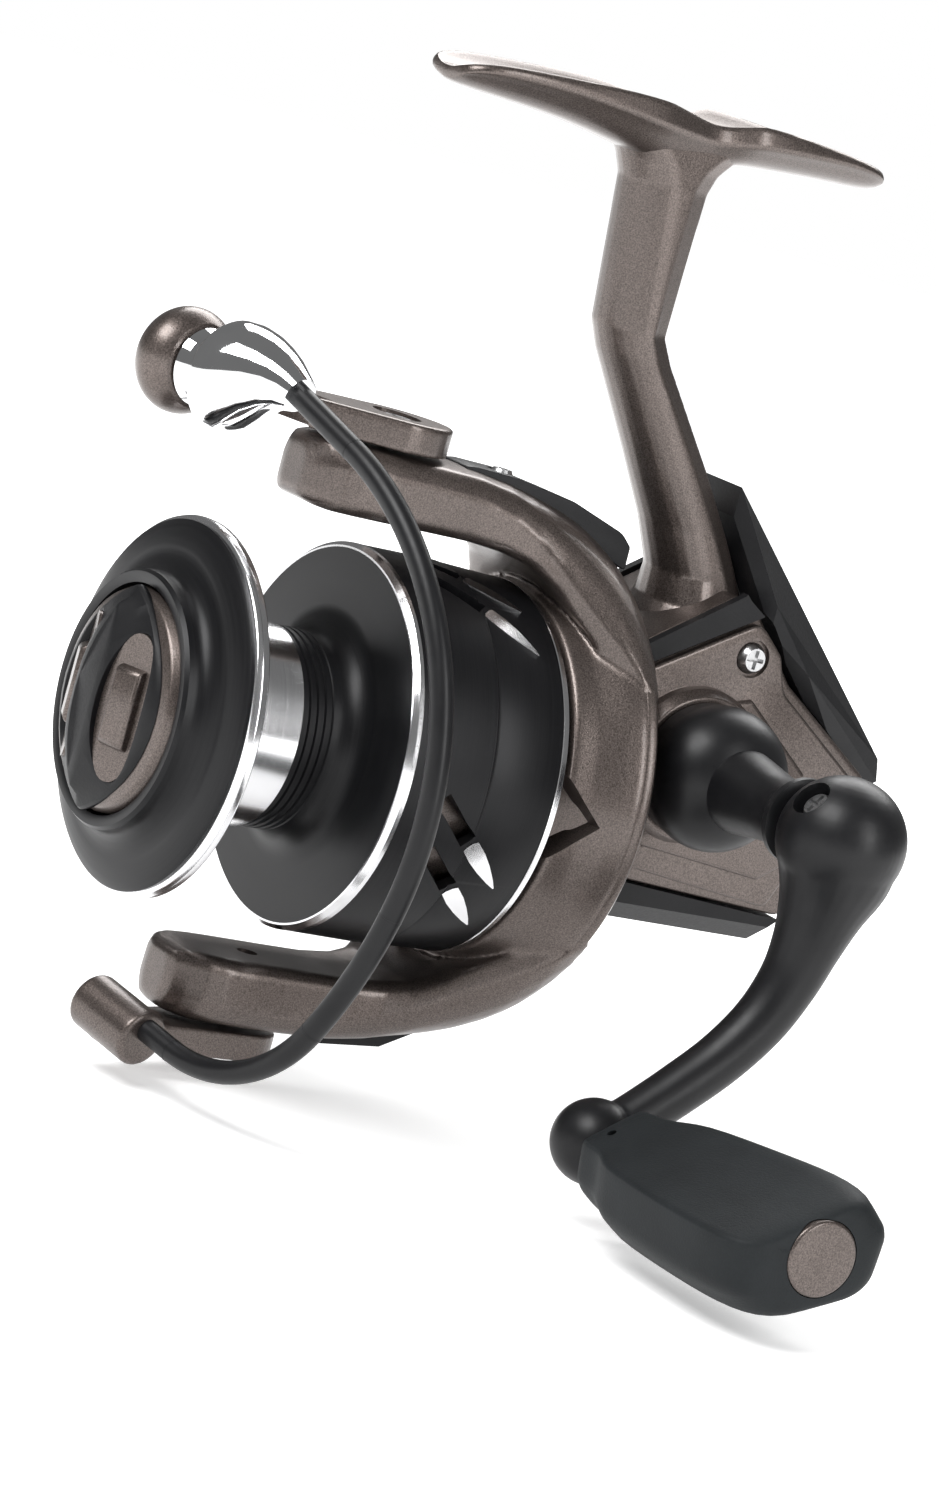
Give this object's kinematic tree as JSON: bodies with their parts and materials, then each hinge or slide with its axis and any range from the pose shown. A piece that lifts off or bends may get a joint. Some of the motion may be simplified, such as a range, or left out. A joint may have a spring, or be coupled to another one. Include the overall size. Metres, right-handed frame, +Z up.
{
  "type": "spinning reel",
  "caption": "Spinning fishing reel with a foot and stem, gear case, rotor with a bail wire, spool with a drag knob, and a cranked handle with a paddle knob.",
  "frame": {"origin": "on the axis of the rod that the foot seats on, over the middle of the foot", "axes": "+X to the handle side, -Y towards the spool and the rod tip, +Z up from the gear case to the rod"},
  "size_m": [0.1246, 0.1165, 0.1353],
  "materials": {
    "bronze_paint": "fine metallic bronze-grey paint, satin",
    "black_plastic": "black moulded plastic, satin",
    "black_anodised": "black anodised aluminium, satin",
    "black_enamel": "satin black coated zinc casting",
    "polished_silver": "bright polished",
    "chrome": "mirror chrome plate",
    "steel": "nickel plated steel",
    "brass": "machined brass",
    "soft_rubber": "dark grey soft-touch rubber",
    "felt": "oiled drag felt"
  },
  "bodies": {
    "frame": {"reel_body": "bronze_paint", "side_cover": "bronze_paint", "rear_guard": "black_plastic", "bottom_guard": "black_plastic", "top_trim": "black_plastic", "left_cap": "black_plastic", "cover_screws": "steel", "guard_screws": "steel", "drive_bearings": "steel", "pinion_bearing": "steel", "clutch_ring": "steel", "clutch_rollers": "steel", "clutch_plate": "black_plastic", "clutch_screws": "steel", "slider_rail": "steel"},
    "drive": {"drive_gear": "steel", "handle_boss": "black_enamel"},
    "crosswind": {"crosswind_gear": "brass"},
    "crank": {"handle_arm": "black_enamel", "fold_screw": "steel", "knob_post": "steel"},
    "knob": {"knob_grip": "soft_rubber", "knob_cap": "bronze_paint", "knob_bush": "brass"},
    "rotor": {"rotor": "bronze_paint", "pinion": "brass", "rotor_nut": "steel", "nut_screw": "steel", "clutch_sleeve": "steel", "arm_cover": "black_plastic", "arm_cover_screw": "steel", "balance_cover": "black_plastic", "balance_screw": "steel", "bail_spring": "steel", "trip_lever": "black_plastic"},
    "bail": {"bail_arm": "bronze_paint", "bail_foot": "bronze_paint", "bail_wire": "black_enamel", "roller_nose": "chrome", "roller_pin": "steel", "pivot_screws": "steel"},
    "roller": {"line_roller": "chrome"},
    "shaft": {"main_shaft": "steel", "slider": "steel", "slider_screw": "steel", "click_gear": "black_plastic"},
    "spool": {"spool": "black_anodised", "lip_ring": "polished_silver", "arbor_band": "polished_silver", "spool_bush": "brass", "drag_felts": "felt", "drag_plates": "steel", "washer_clip": "steel"},
    "drag": {"drag_knob": "black_plastic", "knob_inlay": "bronze_paint", "drag_nut": "brass", "drag_spring": "steel"}
  },
  "joints": [
    {"name": "drive_spin", "type": "hinge", "parent": "frame", "child": "drive", "pos_m": [0, 0.0227, -0.089], "axis": [1, 0, 0], "continuous": true},
    {"name": "crank_fold", "type": "hinge", "parent": "drive", "child": "crank", "pos_m": [0.0495, 0.0227, -0.089], "axis": [0, 0.8, -0.6], "range_deg": [0, 25]},
    {"name": "knob_spin", "type": "hinge", "parent": "crank", "child": "knob", "pos_m": [0.0495, -0.00076, -0.13168], "axis": [1, 0, 0], "continuous": true},
    {"name": "rotor_spin", "type": "hinge", "parent": "frame", "child": "rotor", "pos_m": [0, 0, -0.0965], "axis": [0, 1, 0], "continuous": true},
    {"name": "crosswind_spin", "type": "hinge", "parent": "frame", "child": "crosswind", "pos_m": [0, 0.0344, -0.0945], "axis": [1, 0, 0], "continuous": true},
    {"name": "shaft_slide", "type": "slide", "parent": "frame", "child": "shaft", "axis": [0, -1, 0], "range_m": [0, 0.0135]},
    {"name": "spool_slip", "type": "hinge", "parent": "shaft", "child": "spool", "pos_m": [0, 0, -0.0965], "axis": [0, 1, 0], "continuous": true},
    {"name": "drag_turn", "type": "hinge", "parent": "shaft", "child": "drag", "pos_m": [0, 0, -0.0965], "axis": [0, 1, 0], "range_deg": [-360, 720]},
    {"name": "bail_flip", "type": "hinge", "parent": "rotor", "child": "bail", "pos_m": [0, -0.0264, -0.0965], "axis": [0, 0, -1], "range_deg": [0, 120]},
    {"name": "roller_spin", "type": "hinge", "parent": "bail", "child": "roller", "pos_m": [-0.0074, -0.0519, -0.0543], "axis": [0.9659, 0.2588, 0], "continuous": true}
  ],
  "couplings": [
    {"joint": "rotor_spin", "follows": "drive_spin", "ratio": 5.1429},
    {"joint": "crosswind_spin", "follows": "drive_spin", "ratio": -0.5}
  ]
}
